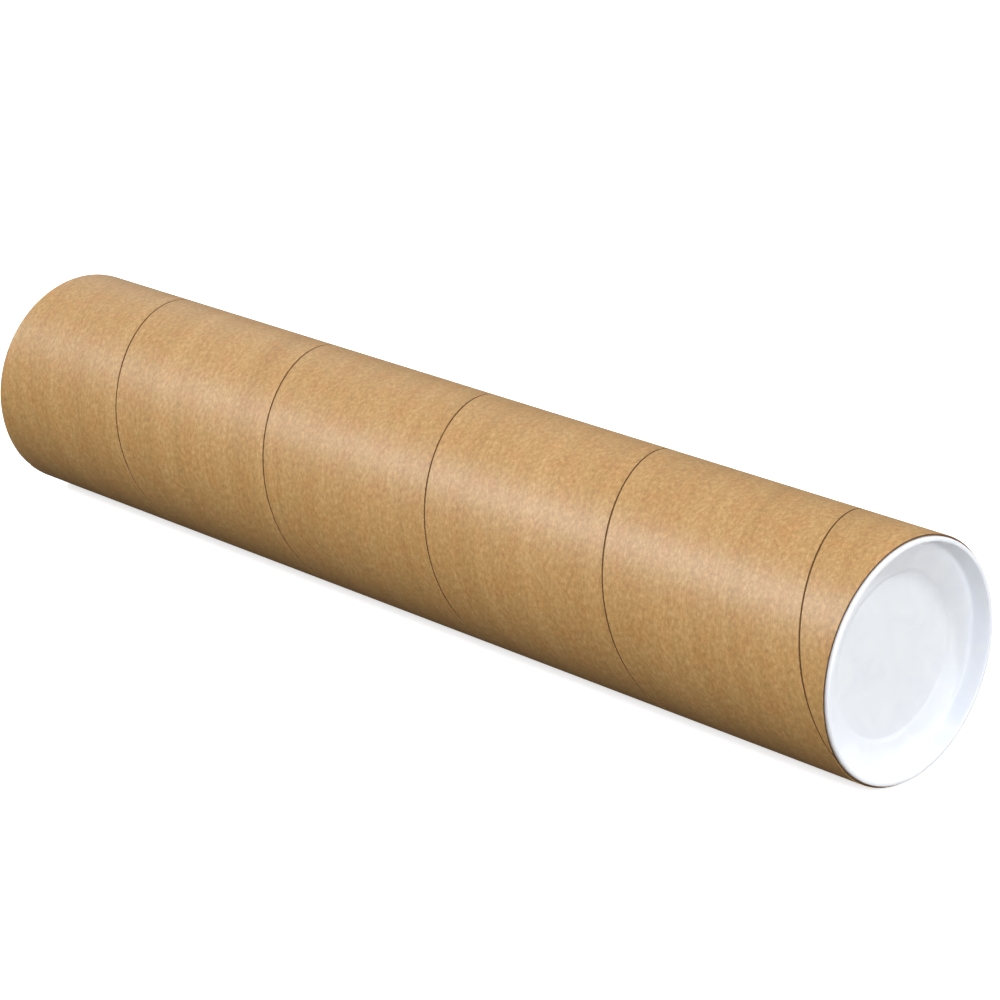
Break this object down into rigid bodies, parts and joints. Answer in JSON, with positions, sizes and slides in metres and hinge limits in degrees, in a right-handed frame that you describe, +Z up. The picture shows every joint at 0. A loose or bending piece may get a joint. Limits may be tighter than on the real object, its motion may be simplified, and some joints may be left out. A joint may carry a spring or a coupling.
{
  "type": "drawing tube",
  "caption": "Spiral-wound kraft paperboard tube for rolled drawings, closed at each end by a push-in recessed plastic cap that pulls out.",
  "frame": {"origin": "on the surface the tube lies on, below the middle of its length", "axes": "+X along the tube towards the near cap, +Z up, +Y across the tube"},
  "size_m": [0.6652, 0.131, 0.1311],
  "materials": {
    "kraft_wrap": "matt natural kraft, fine mottled fibre",
    "chipboard": "uncoated recycled grey-brown chipboard",
    "kraft_liner": "matt natural kraft",
    "cap_plastic": "white moulded polyethylene, semi-gloss"
  },
  "bodies": {
    "tube": {"outer_kraft_wrap": "kraft_wrap", "outer_board_ply": "chipboard", "middle_board_ply": "chipboard", "inner_board_ply": "chipboard", "inner_kraft_liner": "kraft_liner"},
    "near_cap": {"near_end_cap": "cap_plastic"},
    "far_cap": {"far_end_cap": "cap_plastic"}
  },
  "joints": [
    {"name": "near_cap_pull", "type": "slide", "parent": "tube", "child": "near_cap", "axis": [1, 0, 0], "range_m": [0, 0.09]},
    {"name": "far_cap_pull", "type": "slide", "parent": "tube", "child": "far_cap", "axis": [-1, 0, 0], "range_m": [0, 0.09]}
  ]
}
